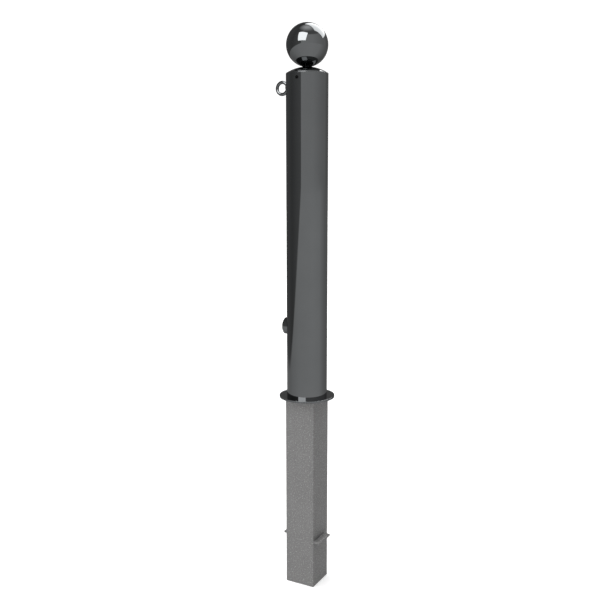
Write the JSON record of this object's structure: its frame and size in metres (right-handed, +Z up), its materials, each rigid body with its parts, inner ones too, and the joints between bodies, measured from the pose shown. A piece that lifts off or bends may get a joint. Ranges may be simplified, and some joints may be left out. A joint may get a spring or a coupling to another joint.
{
  "type": "removable bollard",
  "caption": "Removable round steel bollard with ball head, chain eye and key lock, standing in a square galvanised ground sleeve.",
  "frame": {"origin": "on the post's axis at ground level, where the cover plate's underside rests on the ground sleeve's top end", "axes": "+Z up along the post; -X is the side of the chain eye and the lock; +Y is the side that the latch is thrown towards"},
  "size_m": [0.1561, 0.14, 1.405],
  "materials": {
    "paint": "high-gloss anthracite coating",
    "zinc": "hot-dip galvanised, matt",
    "black_screw": "black oxide",
    "spindle_steel": "turned steel",
    "inner_steel": "plain steel, oiled",
    "black_plastic": "polyethylene"
  },
  "bodies": {
    "ground_sleeve": {"ground_sleeve": "zinc", "latch_pocket": "zinc", "anchor_plates": "zinc", "anchor_welds": "zinc"},
    "post": {"post_tube": "paint", "cover_plate": "paint", "head_cap": "paint", "ball_finial": "paint", "ball_boss": "inner_steel", "ball_stud": "inner_steel", "cap_washer": "inner_steel", "cap_nut": "inner_steel", "head_grub_screw": "black_screw", "chain_eye_bolt": "paint", "lock_bush": "paint", "rod_guide_disc": "inner_steel", "spigot_tube": "zinc", "spigot_end_plug": "black_plastic", "guide_pads": "black_plastic", "latch_housing": "inner_steel"},
    "lock_spindle": {"lock_spindle": "spindle_steel", "crank_arm": "inner_steel", "crank_pin": "inner_steel", "crank_screw": "inner_steel"},
    "lock_rod": {"rod_yoke": "inner_steel", "lock_rod": "inner_steel", "cam_plate": "inner_steel"},
    "latch": {"latch_bolt": "inner_steel", "latch_pin": "inner_steel"}
  },
  "joints": [
    {"name": "post_lift", "type": "slide", "parent": "ground_sleeve", "child": "post", "axis": [0, 0, 1], "range_m": [0, 0.33]},
    {"name": "rod_slide", "type": "slide", "parent": "post", "child": "lock_rod", "axis": [0, 0, -1], "range_m": [0, 0.01273]},
    {"name": "key_turn", "type": "hinge", "parent": "post", "child": "lock_spindle", "pos_m": [-0.04, 0, 0.179], "axis": [1, 0, 0], "range_deg": [0, 90]},
    {"name": "latch_slide", "type": "slide", "parent": "post", "child": "latch", "axis": [0, 1, 0], "range_m": [0, 0.01273]}
  ],
  "couplings": [
    {"joint": "key_turn", "follows": "rod_slide", "rad_per_m": 123.41},
    {"joint": "latch_slide", "follows": "rod_slide", "ratio": 1}
  ]
}
